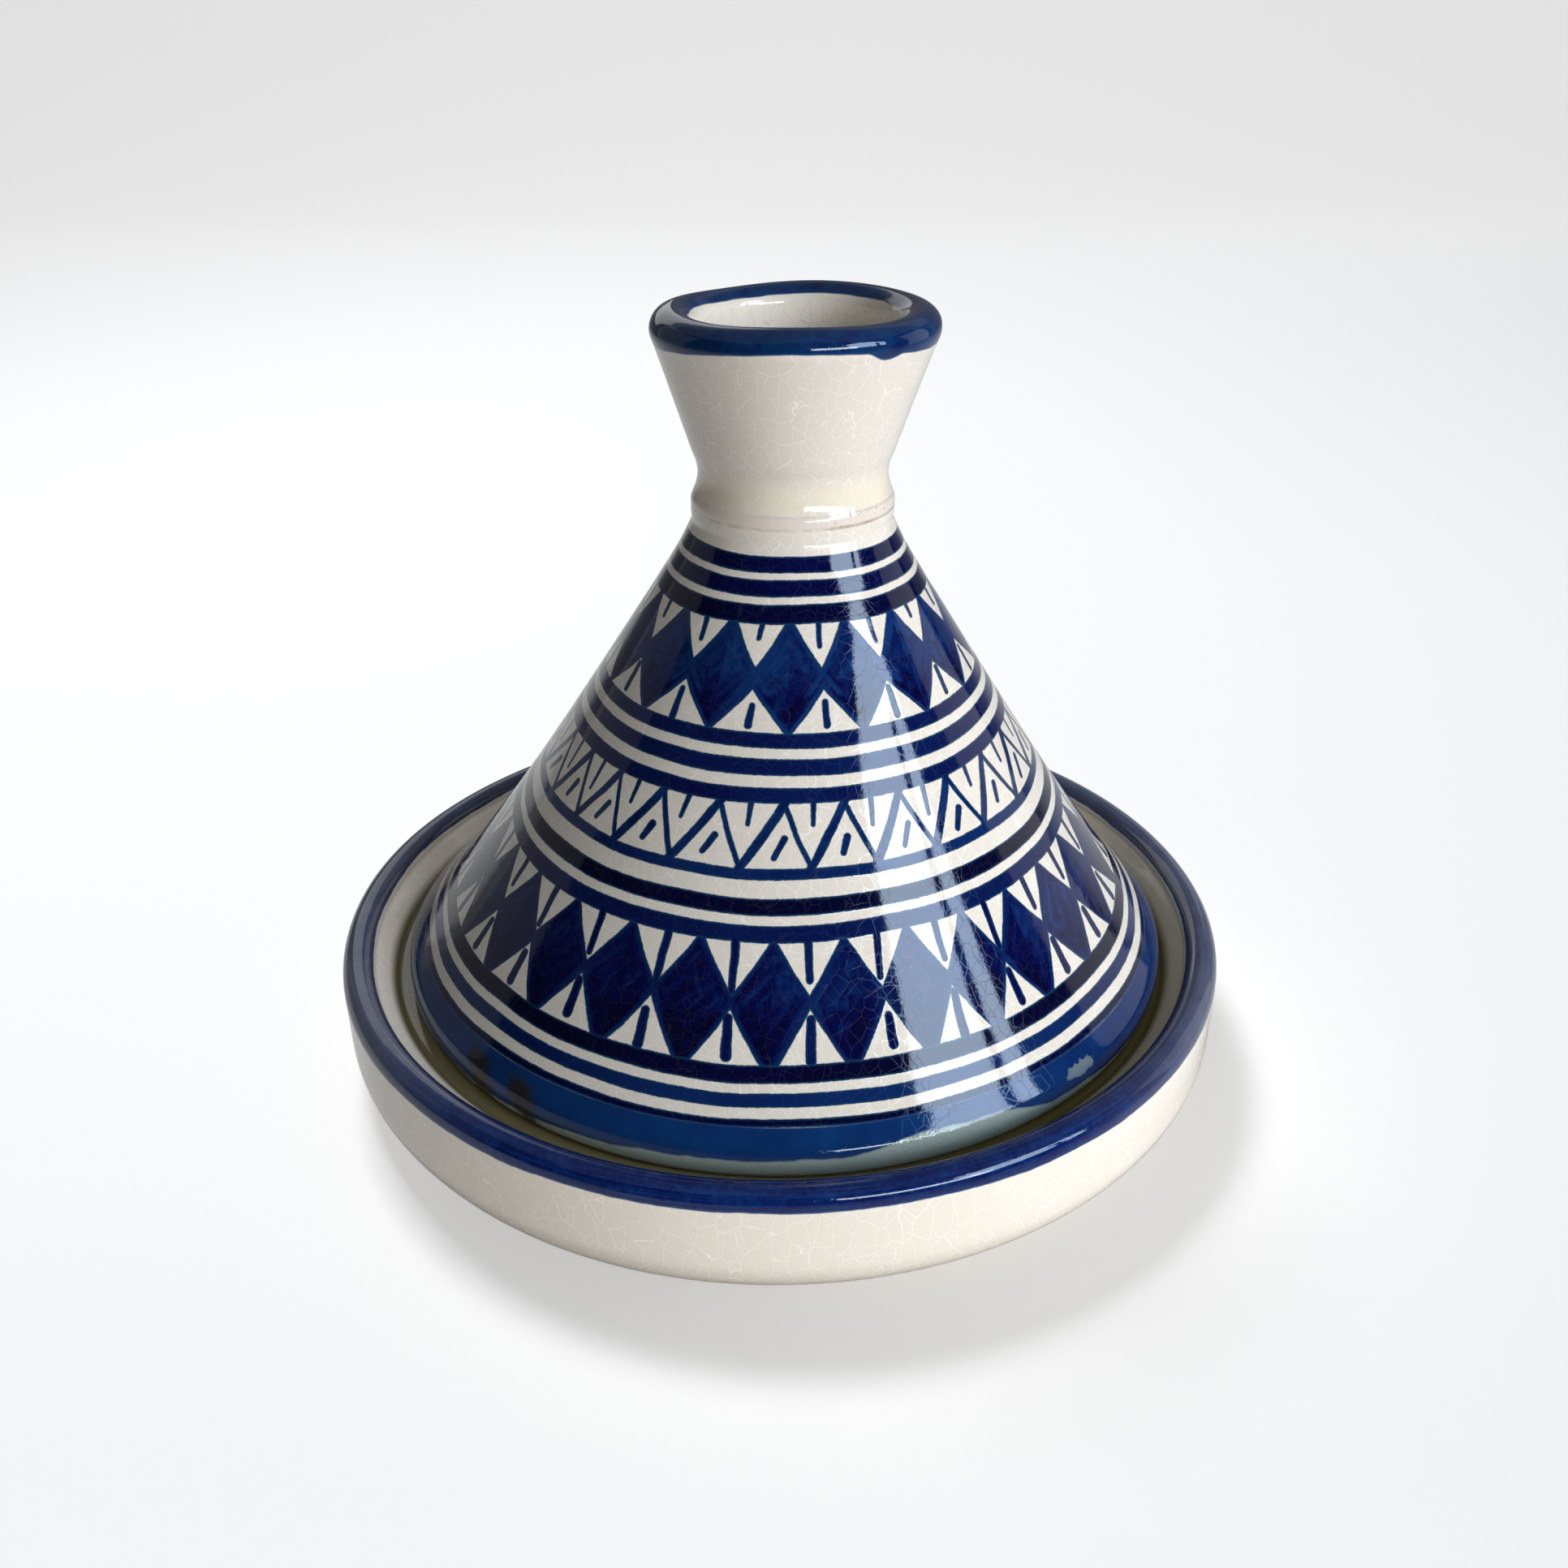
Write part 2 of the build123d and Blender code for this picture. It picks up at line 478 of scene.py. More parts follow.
def tinted(share, below, above):
    """One colour over another, by share."""
    node = share.tree.nodes.new("ShaderNodeMix")
    node.data_type = "RGBA"
    plug(share.tree, share, node.inputs["Factor"])
    plug(share.tree, below, node.inputs[6])
    plug(share.tree, above, node.inputs[7])
    return node.outputs[2]


def stroke(x, y, start, end, width, taper=0.0):
    """How far inside a round-ended brush stroke a point is, in mm; taper narrows it towards its end."""
    from_x, from_y = x - start[0], y - start[1]
    run_x, run_y = end[0] - start[0], end[1] - start[1]
    share = calc("DIVIDE", from_x * run_x + from_y * run_y, run_x * run_x + run_y * run_y, clamp=True)
    off_x, off_y = from_x - share * run_x, from_y - share * run_y
    distance = calc("SQRT", off_x * off_x + off_y * off_y)
    return width / 2 * (1 - share * taper) - distance


class Canvas:
    """The node tree of one material, with the coordinates and noises that its patterns start from."""

    def __init__(self, name):
        self.material = bpy.data.materials.new(name)
        self.material.use_nodes = True
        self.tree = self.material.node_tree
        self.shader = self.tree.nodes["Principled BSDF"]
        turned = self.tree.nodes.new("ShaderNodeUVMap")
        turned.uv_map = "Turned"
        parts = self.tree.nodes.new("ShaderNodeSeparateXYZ")
        self.tree.links.new(turned.outputs[0], parts.inputs[0])
        self.turn = Field(self.tree, parts.outputs["X"]) - 0.5  # share of a turn from the front
        self.place = Field(self.tree, parts.outputs["Y"]) / MM
        true_radius = self.tree.nodes.new("ShaderNodeAttribute")
        true_radius.attribute_name = "radius"
        self.girth = Field(self.tree, true_radius.outputs["Fac"]) * (2 * math.pi / MM)
        self.position = self.tree.nodes.new("ShaderNodeTexCoord").outputs["Object"]

    def moved(self, stretch=(1, 1, 1), shake=0.0, shake_size=8.0):
        """Object coordinates, stretched and shaken, for a texture to read; shake in mm."""
        scaled = self.tree.nodes.new("ShaderNodeVectorMath")
        scaled.operation = "MULTIPLY"
        plug(self.tree, self.position, scaled.inputs[0])
        scaled.inputs[1].default_value = stretch
        if not shake:
            return scaled.outputs[0]
        jitter = self.tree.nodes.new("ShaderNodeTexNoise")
        jitter.inputs["Scale"].default_value = 1 / (shake_size * MM)
        jitter.inputs["Detail"].default_value = 1
        plug(self.tree, self.position, jitter.inputs["Vector"])
        added = self.tree.nodes.new("ShaderNodeVectorMath")
        added.operation = "MULTIPLY_ADD"
        plug(self.tree, jitter.outputs["Color"], added.inputs[0])
        added.inputs[1].default_value = (shake * MM,) * 3
        plug(self.tree, scaled.outputs[0], added.inputs[2])
        return added.outputs[0]

    def noise(self, size, seed=0.0, detail=2.0, stretch=(1, 1, 1)):
        """Smooth noise from about -1 to 1, with features of the given size in mm."""
        node = self.tree.nodes.new("ShaderNodeTexNoise")
        node.noise_dimensions = "4D"
        node.inputs["Scale"].default_value = 1 / (size * MM)
        node.inputs["Detail"].default_value = detail
        node.inputs["W"].default_value = seed
        plug(self.tree, self.moved(stretch), node.inputs["Vector"])
        return Field(self.tree, node.outputs[0]) * 2 - 1

    def streaks(self, across, along, seed):
        """Noise from about -1 to 1 in a pattern's own coordinates."""
        joined = self.tree.nodes.new("ShaderNodeCombineXYZ")
        for value, slot in zip((across, along, seed), joined.inputs):
            plug(self.tree, value, slot)
        node = self.tree.nodes.new("ShaderNodeTexNoise")
        node.inputs["Scale"].default_value = 1
        node.inputs["Detail"].default_value = 1.5
        plug(self.tree, joined.outputs[0], node.inputs["Vector"])
        return Field(self.tree, node.outputs[0]) * 2 - 1

    def chance(self, cell, seed):
        """Three steady random numbers from 0 to 1 for a repeat's cell."""
        node = self.tree.nodes.new("ShaderNodeTexWhiteNoise")
        node.noise_dimensions = "1D"
        plug(self.tree, cell + seed, node.inputs["W"])
        parts = self.tree.nodes.new("ShaderNodeSeparateColor")
        self.tree.links.new(node.outputs["Color"], parts.inputs[0])
        return [Field(self.tree, socket) for socket in parts.outputs]

    def cracks(self, size, stretch=(1, 1, 1), shake=2.5):
        """Distance in mm from the nearest line of a net of cracks with cells of the given size."""
        node = self.tree.nodes.new("ShaderNodeTexVoronoi")
        node.feature = "DISTANCE_TO_EDGE"
        node.inputs["Scale"].default_value = 1 / (size * MM)
        plug(self.tree, self.moved(stretch, shake, size), node.inputs["Vector"])
        return Field(self.tree, node.outputs["Distance"]) * size

    def repeats(self, count, offset, wander, waves_round):
        """A repeat's cell number and the share of the cell from its middle, -0.5 to 0.5.

        The middle of cell 0 is offset degrees from the front; wander shifts cells by up to that many degrees.
        """
        sway = calc("COSINE", self.turn * (2 * math.pi * waves_round)) * (wander / 360)
        counted = (self.turn - offset / 360 - sway) * count + 0.5
        floor = calc("FLOOR", counted)
        return calc("WRAP", floor, count, 0), counted - floor - 0.5

    def degrees_from(self, centre):
        """Degrees round from a place on the piece, for marks well away from the back."""
        return self.turn * 360 - centre

    def finish(self, colour, roughness, height):
        """Wires up the shader; height is the relief in mm."""
        relief = self.tree.nodes.new("ShaderNodeBump")
        relief.inputs["Distance"].default_value = MM
        plug(self.tree, height, relief.inputs["Height"])
        plug(self.tree, relief.outputs[0], self.shader.inputs["Normal"])
        plug(self.tree, colour, self.shader.inputs["Base Color"])
        plug(self.tree, roughness, self.shader.inputs["Roughness"])
        self.shader.inputs["IOR"].default_value = 1.52
        return self.material


# ------------------------------------------------------------------ glaze and paint


def bare_glaze(canvas, crack_size):
    """Crackled cream glaze: its colour, and its crack lines from 0 to 1."""
    mottle = canvas.noise(28, 1.0, 3) * 0.5 + canvas.noise(5, 2.0, 2) * 0.25
    colour = tinted(clamped(mottle * 0.35 + 0.18), CREAM, PINK_SLIP)
    upright = canvas.cracks(crack_size, (1, 1, 0.52), 0.7)
    level = canvas.cracks(crack_size * 1.2, (0.55, 0.55, 1.3), 0.8)
    upright_shown = ramp_up(canvas.noise(15, 3.0, 2), -0.70, -0.20)  # the net is broken here and there
    level_shown = ramp_up(canvas.noise(12, 3.5, 2), -0.20, 0.20)
    lines = highest(
        (1 - ramp_up(upright, 0.02, 0.075)) * upright_shown,
        (1 - ramp_up(level, 0.02, 0.07)) * level_shown,
    )
    colour = tinted(lines * 0.58, colour, CRACK_LINE)
    specks = ramp_up(canvas.noise(1.1, 4.0, 0), 0.72, 0.84)
    return tinted(specks * 0.5, colour, BROWN_STAIN), lines


def blue_paint(canvas, load):
    """Cobalt paint: thin paint is a bright streaky blue, and thick paint nearly black."""
    node = canvas.tree.nodes.new("ShaderNodeValToRGB")
    plug(canvas.tree, clamped(load), node.inputs[0])
    ramp = node.color_ramp
    ramp.elements[0].color = (*BLUE_THIN, 1)
    ramp.elements[1].color = (*BLUE_THICK, 1)
    for place, colour in ((0.5, BLUE), (0.72, BLUE_DEEP)):
        ramp.elements.new(place).color = (*colour, 1)
    return node.outputs[0]


def glaze_relief(canvas, lines, cover):
    """Height of the glaze in mm: fine orange peel, sunken cracks and slightly raised paint."""
    peel = canvas.noise(0.9, 8.0, 3) * 0.0048 + canvas.noise(6, 9.0, 1) * 0.008
    return peel + lines * (1 - cover * 0.8) * 0.014 + cover * 0.020


def band_layout():
    """Where each band of the cone starts and ends, in mm below the first band's top edge."""
    top = notch_at - BARE_BELOW_COLLAR
    squeeze = (top - skirt_at) / sum(width for _, width, _ in BANDS)
    laid, down = [], 0.0
    for kind, width, load in BANDS:
        laid.append((kind, down, down + width * squeeze, load))
        down += width * squeeze
    return top, laid


def diamonds(canvas, down, start, end, look):
    """A row of painted diamonds touching side to side, with a stroke in each bare triangle.

    Gives how far inside the paint a point is, in mm, and how thick the paint lies.
    """
    seed = look["seed"]
    cell, share = canvas.repeats(look["count"], look["offset"], look["wander"], look["waves_round"])
    pitch = canvas.girth / look["count"]
    x = share * pitch + canvas.noise(9, seed, 1) * 0.5  # mm from the nearest place where two diamonds touch
    node_line = start + (end - start) * look["touch"]
    y = down - node_line
    above = calc("LESS_THAN", y, 0)
    tall = chosen(above, node_line - start, end - node_line)
    join = chosen(above, look["join_above"], look["join_below"])
    knot = chosen(above, look["knot_above"], look["knot_below"])
    slope = (pitch - join) / 2 / (tall - knot)
    bare_half = slope * (abs(y) - knot)
    inside = (abs(x) - bare_half) * 0.82
    luck = canvas.chance(cell, seed)
    hang_end = look["hang"] + (luck[0] * 6.0 - 3.6)
    hang_top = start - node_line - 1.5 - look["overshoot"] * luck[1]
    hanging = stroke(
        x, y, (luck[2] * 1.2 - 0.6, hang_top), (0.2 - luck[1] * 0.6, hang_end), look["width"], 0.2
    )
    rise_top = look["rise"] * (0.8 + 0.4 * luck[2])
    rising = stroke(
        x, y, (0.5 - luck[0], rise_top), (luck[1] - 0.5, end - node_line - 3.4 * luck[1]), look["width"], -0.2
    )
    within = lowest(down - start + 0.4, end + 0.4 - down)
    body = lowest(inside, within)
    marks = highest(lowest(hanging, down - start + look["overshoot"]), lowest(rising, within))
    follow = canvas.streaks(inside * 0.38, (x + y) * 0.22 + cell * 7.0, seed)
    # Outlines cross where two diamonds touch
    crossing = 1 - ramp_up(abs(abs(x) - abs(y) * slope) * 0.82, 0.45, 1.1)
    crossing = crossing * (1 - ramp_up(abs(y), knot + 0.6, knot + 2.4))
    outline = highest(1 - ramp_up(inside, 0.9, 1.7), crossing)
    pooled = ramp_up(y, -0.1 * (end - start), 0.4 * (end - start))  # paint gathers towards the lower tip
    fill = look["load"] + luck[0] * 0.36 + follow * 0.50 + pooled * look["pooling"]
    load = chosen(outline, look["outline"] + follow * 0.2, fill)
    load = chosen(calc("GREATER_THAN", marks, -0.1), look["mark"] + luck[1] * 0.2, load)
    return highest(body, marks), load


def zigzag(canvas, down, start, end, seed):
    """A row of leaning tents: a thick stroke up, a thin one down, and a short stroke in each gap."""
    count, lean = 25, 0.40
    offset, wander, waves_round = -2.5, 0.6, 5
    gap_share = 0.46  # the hanging strokes start this share of a cell further round
    tall = end - start
    y = down - start
    cell, share = canvas.repeats(count, offset, wander, waves_round)
    pitch = canvas.girth / count
    sway = canvas.noise(11, seed, 1) * 0.5

    def slanting(run, width):
        """A row of slanting strokes, each run cells sideways from the top edge to the bottom edge."""
        shifted = share - y * (run / tall) + 0.5
        nearest = (calc("FRACT", shifted) - 0.5) * pitch + sway
        return width / 2 - abs(nearest) * 0.86

    thick = slanting(lean - 1, 2.5 + canvas.noise(14, seed + 1, 1) * 0.7)
    thin = slanting(lean, 1.5 + canvas.noise(14, seed + 2, 1) * 0.5)
    luck = canvas.chance(cell, seed)
    x = share * pitch
    drop = stroke(
        x, y, (0.6 - luck[0], 8.8 + luck[1]), (-1.7 - luck[2], 14.4 - luck[0]), 1.8 + luck[1] * 0.7, 0.15
    )
    hang_cell, hang_share = canvas.repeats(count, offset + 360 / count * gap_share, wander, waves_round)
    hang_luck = canvas.chance(hang_cell, seed + 0.5)
    hanging = stroke(
        hang_share * pitch, y, (0.3, -0.6), (hang_luck[0] * 1.2 - 0.8, 5.4 + hang_luck[1] * 3.2), 1.7, 0.25
    )
    within = lowest(y + 1.2, tall + 1.0 - y)
    load = 0.46 + canvas.noise(5, seed + 3, 2) * 0.45
    return lowest(highest(thick, thin, drop, hanging), within), load


LARGE = {
    "count": 16,
    "offset": 8.3,  # degrees from the front to a place where two diamonds touch
    "wander": 1.6,  # the row drifts by up to this many degrees, this many times round
    "waves_round": 2,
    "seed": 31.0,
    "touch": 0.45,  # how far down the row its diamonds touch, as a share of its height
    "join_above": 3.0,  # width of the upper and lower tips where they meet the bands
    "join_below": 2.4,
    "knot_above": 1.6,  # height of paint above and below each touching place
    "knot_below": 4.6,
    "hang": -6.5,  # where hanging strokes end, from the touching line
    "rise": 7.6,  # where rising strokes start
    "width": 1.8,
    "overshoot": 0.5,  # how far hanging strokes may start inside the band above
    "load": 0.26,
    "pooling": 0.36,
    "outline": 0.30,
    "mark": 0.38,
}
SMALL = {
    "count": 29,
    "offset": 1.5,
    "wander": 1.5,
    "waves_round": 3,
    "seed": 47.0,
    "touch": 0.475,
    "join_above": 2.4,
    "join_below": 5.2,
    "knot_above": 1.4,
    "knot_below": 2.6,
    "hang": -3.4,
    "rise": 5.4,
    "width": 2.5,
    "overshoot": 4.0,
    "load": 0.40,
    "pooling": 0.28,
    "outline": 0.50,
    "mark": 0.56,
}


def cone_paint(canvas, down, laid):
    """All the painting of the cone: how far inside the paint a point is, in mm, and how thick it lies."""
    inside, load = None, None
    for kind, start, end, thickness in laid:
        if kind == "bare":
            continue
        if kind == "band":
            piece = (end - start) / 2 - abs(down - (start + end) / 2)
            piece_load = thickness + canvas.noise(26, start, 2) * 0.22
        elif kind == "large diamonds":
            piece, piece_load = diamonds(canvas, down, start, end, LARGE)
        elif kind == "small diamonds":
            piece, piece_load = diamonds(canvas, down, start, end, SMALL)
        else:
            piece, piece_load = zigzag(canvas, down, start, end, seed=61.0)
        if inside is None:
            inside, load = piece, piece_load
        else:
            load = chosen(calc("GREATER_THAN", piece, inside), piece_load, load)
            inside = highest(inside, piece)
    return inside, load


def lid_glaze():
    """The lid's material, from the bare seat up over the painted cone to the cup."""
    canvas = Canvas("painted_lid_glaze")
    top, laid = band_layout()
    up = canvas.place
    colour, lines = bare_glaze(canvas, 3.4)

    hand = canvas.noise(34, 5.0, 1) * 0.9 + canvas.noise(3.2, 6.0, 2) * 0.16
    inside, load = cone_paint(canvas, top - up + hand, laid)
    inside = inside + canvas.noise(0.9, 7.0, 1) * 0.14
    on_cone = between(up, skirt_at, top + 1.5, 0.3)
    cover = ramp_up(inside, -0.16, 0.16) * on_cone
    paint = tinted(1 - ramp_up(inside, 0.05, 0.75), blue_paint(canvas, load), BLUE_EDGE)
    paint = tinted(lines * 0.010, paint, CRACK_LINE)

    # Collar: a stained notch, a pinkish ridge and yellower glaze pooled in the waist
    ridge_up = up - notch_at
    uneven = canvas.noise(13, 11.0, 2) * 1.8
    colour = tinted(between(ridge_up, 0.2, RIDGE_TOP + 0.2, 0.5) * 0.55, colour, PINK_SLIP)
    pool_top = 1 - ramp_up(ridge_up + uneven, 8.0, 14.0)
    colour = tinted(ramp_up(ridge_up, 3.2, 5.2) * pool_top * 0.45, colour, POOLED_CREAM)
    rightward = ramp_up(canvas.turn, 0.0, 0.11) * (1 - ramp_up(canvas.turn, 0.2, 0.3))
    stain = clamped(ramp_up(canvas.noise(5, 12.0, 3), -0.35, 0.35) * 0.5 + rightward * 0.4)
    colour = tinted((1 - ramp_up(abs(ridge_up), 0.1, 0.7)) * stain * 0.7, colour, BROWN_STAIN)
    colour = tinted((1 - ramp_up(abs(ridge_up - RIDGE_TOP), 0.1, 0.6)) * stain * 0.30, colour, BROWN_STAIN)
    grains = ramp_up(canvas.noise(0.8, 10.0, 1), 0.22, 0.50) * rightward * between(ridge_up, -0.6, 4.2, 0.5)
    colour = tinted(grains * 0.6, colour, BROWN_STAIN)

    # Cup rim: blue over the roll, with a wavy lower edge and one drip
    turn_angle = canvas.turn * (2 * math.pi)
    drip = 1 - ramp_up(abs(canvas.degrees_from(DRIP_AT)), 0.5, 9.0)
    lower = up - lid_rim_at + CUP_RIM_OUTSIDE - calc("COSINE", turn_angle * 2) * 1.6 + drip * 1.7
    upper = lid_rim_at + CUP_RIM_INSIDE - up
    rim_inside = lowest(lower, upper) + canvas.noise(12, 13.0, 2) * 0.7
    rim_cover = ramp_up(rim_inside, -0.25, 0.25)
    rim_load = 0.44 + canvas.noise(9, 14.0, 3) * 0.42 + canvas.noise(1.6, 20.0, 2) * 0.28
    rim_paint = tinted(clamped(canvas.noise(5, 22.0, 3) * 0.8 + 0.3), blue_paint(canvas, rim_load), BLUE_EDGE)
    rim_paint = tinted(1 - ramp_up(rim_inside, 0.1, 1.2), rim_paint, SKIRT_BLUE)

    # Inside the cup the cream is painted paler and warmer, a painted pool of light in the hollow where the
    # lamps bring little, with a short dark crack in the far wall
    in_cup = ramp_up(up - lid_rim_at, 4.0, 9.0)
    colour = tinted(in_cup * 0.8, colour, CUP_PAINTED_LIGHT)
    colour = tinted(in_cup * lines * 0.9, colour, PINK_SLIP)
    crack_line = abs(up - lid_rim_at - 15.0 + canvas.noise(4, 21.0, 2) * 1.2)
    crack_reach = 1 - ramp_up(abs(canvas.degrees_from(CUP_CRACK_AT)), 6, 10)
    crack = (1 - ramp_up(crack_line, 0.06, 0.30)) * crack_reach
    colour = tinted(crack * 0.75, colour, BROWN_STAIN)

    # Skirt: bright blue that ran down the edge, then celadon and olive, with two kiln marks and a pale scar
    below = skirt_at - up
    wave = 1 - calc("COSINE", (turn_angle - math.radians(SHORE_LOWEST_AT)) * 2)
    tongue = 1 - ramp_up(abs(canvas.degrees_from(TONGUE_AT)), 5.0, 15.0)
    shore = SHORE_BELOW + wave * 3.0 + canvas.noise(11, 15.0, 3) * 1.2 - tongue * 3.4
    blue_share = 1 - ramp_up(below - shore, -0.4, 0.4)
    run_glaze = tinted(ramp_up(below, OLIVE_BELOW - 1, OLIVE_BELOW + 1), CELADON, OLIVE)
    right_side = ramp_up(canvas.turn, 0.05, 0.13) * (1 - ramp_up(canvas.turn, 0.30, 0.42))
    deeper = canvas.noise(7, 16.0, 3, (1, 1, 0.4)) * 0.8 + right_side * 0.35
    flange_blue = tinted(clamped(deeper + 0.15), SKIRT_BLUE, BLUE)
    flange = tinted(blue_share, run_glaze, flange_blue)
    for centre, width in KILN_MARKS:
        off = abs(canvas.degrees_from(centre) - below * 0.25 + canvas.noise(3, centre, 3) * 2.4)
        mark = (1 - ramp_up(off, width / 2 - 1.4, width / 2 + 1.0)) * ramp_up(below, 0.5, 4.5)
        flange = tinted(mark * 0.92, flange, KILN_MARK)
    across = canvas.degrees_from(SCAR_AT) / 3.6
    down = (below - 5.4) / 2.2
    scar = 1 - ramp_up(across * across + down * down + canvas.noise(1.8, 17.0, 3) * 1.1, 0.55, 0.85)
    flange = tinted(scar * 0.45, flange, CELADON)

    on_flange = between(up, lid_seat_at + SEAT_OUTSIDE, skirt_at + 0.3, 0.4)
    colour = tinted(cover, colour, paint)
    colour = tinted(rim_cover, colour, rim_paint)
    colour = tinted(on_flange, colour, flange)
    on_seat = between(up, lid_seat_at - SEAT_INSIDE, lid_seat_at + SEAT_OUTSIDE, 0.5)
    colour = tinted(on_seat, colour, CLAY)

    shine = 0.045 + lines * 0.10 + clamped(canvas.noise(20, 18.0, 2)) * 0.03
    run_off = (1 - blue_share) * on_flange
    roughness = chosen(on_seat, 0.85, shine + run_off * 0.02)
    relief = glaze_relief(canvas, lines, highest(cover, rim_cover, on_flange))
    return canvas.finish(colour, roughness, relief + canvas.noise(1.4, 19.0, 2) * run_off * 0.09)


def dish_glaze():
    """The dish's material: cream crackle, a blue rim, an olive gallery and a bare foot."""
    canvas = Canvas("painted_dish_glaze")
    up = canvas.place
    colour, lines = bare_glaze(canvas, 4.4)
    past_rim = up - dish_rim_at
    wobble = canvas.noise(22, 23.0, 2) * 0.9 + canvas.noise(3, 24.0, 1) * 0.2

    # Inside the rim the cream turns dark olive in the gallery, partly glaze pooled there and partly painted
    # shade in the gap under the lid, and an olive wash is laid up the inner wall at the right
    gallery = ledge_at - dish_rim_at
    rightward = between(canvas.turn, 0.05, 0.36, 0.08)
    wash = between(past_rim, 6.5, gallery + 4, 2.5) * rightward
    colour = tinted(wash * 0.6, colour, OLIVE_WASH)
    # Dark olive in the gallery: pooled glaze, and painted shade of the gap under the lid
    pooled = between(past_rim, gallery - 3.2, gallery + 14, 1.8)
    colour = tinted(pooled * 0.95, colour, OLIVE)

    # The rim is blue over its rounded top, darker near the inner edge, and painted a pale grey blue at both
    # sides: a painted sheen, the reflection that its sides show
    inside = lowest(past_rim + DISH_RIM_OUTSIDE, DISH_RIM_INSIDE - past_rim) + wobble
    cover = ramp_up(inside, -0.25, 0.25)
    closing = 1 - ramp_up(abs(canvas.turn), 0.42, 0.49)  # the strokes thin out where they meet at the back
    brush = canvas.streaks(past_rim * 1.6, canvas.turn * 28, 25.0) * closing
    mottle = canvas.noise(8, 26.0, 3) * 0.30 + canvas.noise(1.5, 27.0, 2) * 0.28
    load = 0.48 + brush * 0.40 + mottle + between(past_rim, 3.0, 5.0, 0.6) * 0.3
    paint = tinted(1 - ramp_up(inside, 0.1, 1.0), blue_paint(canvas, load), SKIRT_BLUE)
    # Painted sheen: both sides of the rim are tinted grey blue in place of a reflection
    sideways = between(abs(canvas.turn), 0.14, 0.40, 0.06)
    painted_sheen = sideways * clamped(0.45 - past_rim * 0.04 + canvas.noise(10, 28.0, 3) * 0.25)
    colour = tinted(cover, colour, tinted(painted_sheen, paint, SHEEN_GREY_BLUE))

    # Bare clay on the underside
    from_axis = canvas.girth / (2 * math.pi)
    clay = 1 - ramp_up(from_axis, FOOT_RADIUS - 0.5, FOOT_RADIUS + 0.5)
    clay = clay * (1 - ramp_up(up, FOOT_REACH - 1, FOOT_REACH + 1))
    colour = tinted(clay, colour, CLAY)
    roughness = chosen(clay, 0.85, 0.05 + lines * 0.10)
    return canvas.finish(colour, roughness, glaze_relief(canvas, lines, cover))


for piece, body, slot_name, glaze in (
    (lid, "lid", "lid_glaze", lid_glaze()),
    (dish, "dish", "dish_glaze", dish_glaze()),
):
    piece.data.materials.append(glaze)
    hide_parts(body)
    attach(piece, body)


# ------------------------------------------------------------------ floor, lights and camera


def pale_backdrop():
    """A plain pale floor that sweeps up into a wall behind."""
    half_width, front, bend_from, bend_radius, top = 4.0, -3.0, 2.2, 1.0, 3.5
    sweep = [
        (bend_from + bend_radius * math.sin(a), bend_radius * (1 - math.cos(a)))
        for a in np.linspace(0, math.pi / 2, 13)
    ]
    line = [(front, 0.0), *sweep, (bend_from + bend_radius, top)]
    mesh = bpy.data.meshes.new("backdrop")
    points = [(side * half_width, y, z) for y, z in line for side in (-1, 1)]
    faces = [(2 * k, 2 * k + 1, 2 * k + 3, 2 * k + 2) for k in range(len(line) - 1)]
    mesh.from_pydata(points, [], faces)
    mesh.polygons.foreach_set("use_smooth", [True] * len(faces))
    floor = bpy.data.objects.new("backdrop", mesh)
    bpy.context.scene.collection.objects.link(floor)
    material = bpy.data.materials.new("backdrop_paper")
    material.use_nodes = True
    shader = material.node_tree.nodes["Principled BSDF"]
    shader.inputs["Base Color"].default_value = (0.86, 0.865, 0.87, 1)
    shader.inputs["Roughness"].default_value = 1.0
    shader.inputs["Specular IOR Level"].default_value = 0.0
    shader.inputs["Emission Color"].default_value = (1, 1, 1, 1)
    # The paper looks brighter to the camera than the light that it throws back on the pot
    glow, seen_glow, seen_behind, seen_near = 0.06, 0.40, 0.22, 0.34
    rays = material.node_tree.nodes.new("ShaderNodeLightPath")
    seen = Field(material.node_tree, rays.outputs["Is Camera Ray"])
    parts = material.node_tree.nodes.new("ShaderNodeSeparateXYZ")
    where = material.node_tree.nodes.new("ShaderNodeTexCoord")
    plug(material.node_tree, where.outputs["Object"], parts.inputs[0])
    depth = Field(material.node_tree, parts.outputs["Y"])
    behind = ramp_up(depth, 0.5, bend_from)
    near = ramp_up(-depth, 0.15, 0.55)
    strength = seen * (behind * seen_behind + near * seen_near + seen_glow) + glow
    plug(material.node_tree, strength, shader.inputs["Emission Strength"])
    mesh.materials.append(material)
    return floor


def toward(azimuth, elevation):
    """Unit vector to a direction: azimuth from the front towards +X, both in degrees."""
    a, e = math.radians(azimuth), math.radians(elevation)
    return Vector((math.sin(a) * math.cos(e), -math.cos(a) * math.cos(e), math.sin(e)))


def receivers(name, *objects):
    """A collection that limits a light to the given objects."""
    group = bpy.data.collections.new(name)
    for member in objects:
        group.objects.link(member)
    return group


def panel(name, azimuth, elevation, distance, size, radiance, colour=(1, 1, 1), lights=None, glossy=True):
    """A rectangular light that faces the middle of the pot; radiance sets how bright its surface looks."""
    data = bpy.data.lights.new(name, "AREA")
    data.shape = "RECTANGLE"
    data.size, data.size_y = size
    data.energy = radiance * math.pi * size[0] * size[1]
    data.color = colour
    light = bpy.data.objects.new(name, data)
    bpy.context.scene.collection.objects.link(light)
    direction = toward(azimuth, elevation)
    light.location = Vector((0, 0, 0.1)) + direction * distance
    light.rotation_euler = direction.to_track_quat("Z", "Y").to_euler()
    light.visible_glossy = glossy
    light.visible_camera = False
    if lights is not None:
        light.light_linking.receiver_collection = lights
    return light


